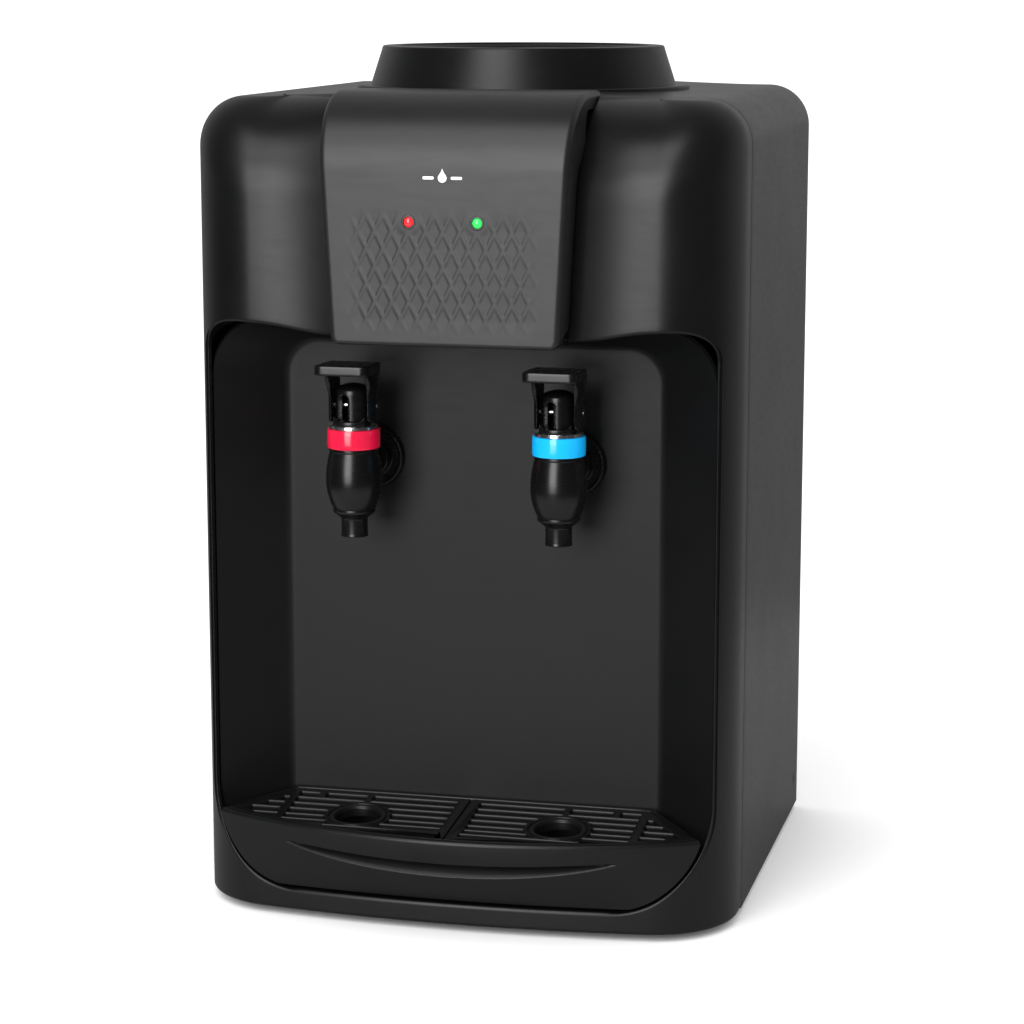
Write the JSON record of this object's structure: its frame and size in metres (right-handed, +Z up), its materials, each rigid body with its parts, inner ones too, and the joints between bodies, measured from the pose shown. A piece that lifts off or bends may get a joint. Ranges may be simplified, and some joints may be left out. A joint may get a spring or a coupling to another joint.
{
  "type": "countertop water dispenser",
  "caption": "Countertop hot and cold water dispenser: boxy black cabinet with a cup bay, lever taps, a pull-out drip tray and a bottle seat on top.",
  "frame": {"origin": "on the surface it stands on, under the middle of its bounding box", "axes": "+X to the right of someone facing the taps, +Y to the back, +Z up"},
  "size_m": [0.3, 0.302, 0.472],
  "materials": {
    "black_shell": "satin moulded",
    "satin_panel": "fine satin",
    "bay_plastic": "fine matte",
    "tray_plastic": "satin moulded",
    "tap_plastic": "semi-gloss",
    "red_ring": "gloss",
    "blue_ring": "gloss",
    "green_rocker": "gloss",
    "chrome_trim": "polished",
    "spring_steel": "bright",
    "black_steel": "blackened",
    "rubber_black": "matte",
    "silicone_white": "soft",
    "white_plastic": "moulded",
    "tank_steel": "brushed",
    "foam_white": "beaded foam",
    "alloy": "extruded",
    "ceramic_white": "fired",
    "heater_mica": "mica and fibre",
    "circuit_board": "solder mask",
    "red_lens": "clear lens",
    "green_lens": "clear lens"
  },
  "bodies": {
    "housing": {"cabinet_wrap": "black_shell", "front_frame": "black_shell", "control_panel": "satin_panel", "alcove_liner": "bay_plastic", "base_pan": "black_shell", "rear_panel": "black_shell", "feet": "rubber_black", "side_screws": "black_steel", "rear_screws": "black_steel", "red_led": "red_lens", "green_led": "green_lens", "led_board": "circuit_board", "hot_tap_body": "tap_plastic", "cold_tap_body": "tap_plastic", "tap_flanges": "tap_plastic", "tap_lock_nuts": "white_plastic", "hot_colour_ring": "red_ring", "cold_colour_ring": "blue_ring", "tap_washers": "chrome_trim", "hot_bonnet": "tap_plastic", "cold_bonnet": "tap_plastic", "hot_spring": "spring_steel", "cold_spring": "spring_steel", "lever_pins": "chrome_trim", "cold_tank": "tank_steel", "cold_tank_lid": "white_plastic", "tank_foam": "foam_white", "tank_shelf": "tank_steel", "hot_tank": "tank_steel", "heater_band": "heater_mica", "thermostats": "heater_mica", "hot_feed_hose": "silicone_white", "hot_outlet_hose": "silicone_white", "cold_outlet_hose": "silicone_white", "drain_tube": "silicone_white", "drain_port": "white_plastic", "cold_plate": "alloy", "peltier_module": "ceramic_white", "heat_sink": "alloy", "fan_frame": "black_shell", "power_board": "circuit_board", "switch_housings": "black_shell", "cord_gland": "rubber_black"},
    "drip_tray": {"drip_tray": "tray_plastic"},
    "grille_left": {"grille_left": "tray_plastic"},
    "grille_right": {"grille_right": "tray_plastic"},
    "bottle_seat": {"bottle_collar": "black_shell", "bottle_funnel": "black_shell"},
    "hot_lever": {"hot_lever": "tap_plastic"},
    "hot_stem": {"hot_stem": "chrome_trim", "hot_valve_cup": "silicone_white"},
    "cold_lever": {"cold_lever": "tap_plastic"},
    "cold_stem": {"cold_stem": "chrome_trim", "cold_valve_cup": "silicone_white"},
    "drain_plug": {"drain_plug": "rubber_black"},
    "drain_cap": {"drain_cap": "black_shell"},
    "hot_switch": {"hot_switch_rocker": "red_ring"},
    "cold_switch": {"cold_switch_rocker": "green_rocker"},
    "fan_rotor": {"fan_rotor": "black_shell"}
  },
  "joints": [
    {"name": "tray_slide", "type": "slide", "parent": "housing", "child": "drip_tray", "axis": [0, -1, 0], "range_m": [0, 0.11]},
    {"name": "grille_left_lift", "type": "slide", "parent": "drip_tray", "child": "grille_left", "axis": [0, 0, 1], "range_m": [0, 0.05]},
    {"name": "grille_right_lift", "type": "slide", "parent": "drip_tray", "child": "grille_right", "axis": [0, 0, 1], "range_m": [0, 0.05]},
    {"name": "bottle_seat_lift", "type": "slide", "parent": "housing", "child": "bottle_seat", "axis": [0, 0, 1], "range_m": [0, 0.09]},
    {"name": "hot_lever_tilt", "type": "hinge", "parent": "housing", "child": "hot_lever", "pos_m": [-0.0565, -0.117, 0.2844], "axis": [1, 0, 0], "range_deg": [0, 18], "stiffness_Nm_per_rad": 0.8, "springref_deg": -6.88},
    {"name": "hot_stem_lift", "type": "slide", "parent": "housing", "child": "hot_stem", "axis": [0, 0, 1], "range_m": [0, 0.004], "deforming": ["hot_spring"]},
    {"name": "cold_lever_tilt", "type": "hinge", "parent": "housing", "child": "cold_lever", "pos_m": [0.0565, -0.117, 0.2844], "axis": [1, 0, 0], "range_deg": [0, 18], "stiffness_Nm_per_rad": 0.8, "springref_deg": -6.88},
    {"name": "cold_stem_lift", "type": "slide", "parent": "housing", "child": "cold_stem", "axis": [0, 0, 1], "range_m": [0, 0.004], "deforming": ["cold_spring"]},
    {"name": "drain_plug_slide", "type": "slide", "parent": "housing", "child": "drain_plug", "axis": [0, 1, 0], "range_m": [0, 0.008]},
    {"name": "drain_cap_turn", "type": "hinge", "parent": "drain_plug", "child": "drain_cap", "pos_m": [-0.045, 0.139, 0.042], "axis": [0, 1, 0], "range_deg": [0, 1080]},
    {"name": "hot_switch_rock", "type": "hinge", "parent": "housing", "child": "hot_switch", "pos_m": [0.095, 0.145, 0.09], "axis": [1, 0, 0], "range_deg": [-14, 0]},
    {"name": "cold_switch_rock", "type": "hinge", "parent": "housing", "child": "cold_switch", "pos_m": [0.06, 0.145, 0.09], "axis": [1, 0, 0], "range_deg": [-14, 0]},
    {"name": "fan_spin", "type": "hinge", "parent": "housing", "child": "fan_rotor", "pos_m": [0, 0.138, 0.31], "axis": [0, 1, 0], "continuous": true}
  ],
  "couplings": [
    {"joint": "hot_stem_lift", "follows": "hot_lever_tilt", "m_per_rad": 0.0127},
    {"joint": "cold_stem_lift", "follows": "cold_lever_tilt", "m_per_rad": 0.0127},
    {"joint": "drain_plug_slide", "follows": "drain_cap_turn", "m_per_rad": 0.000398}
  ]
}
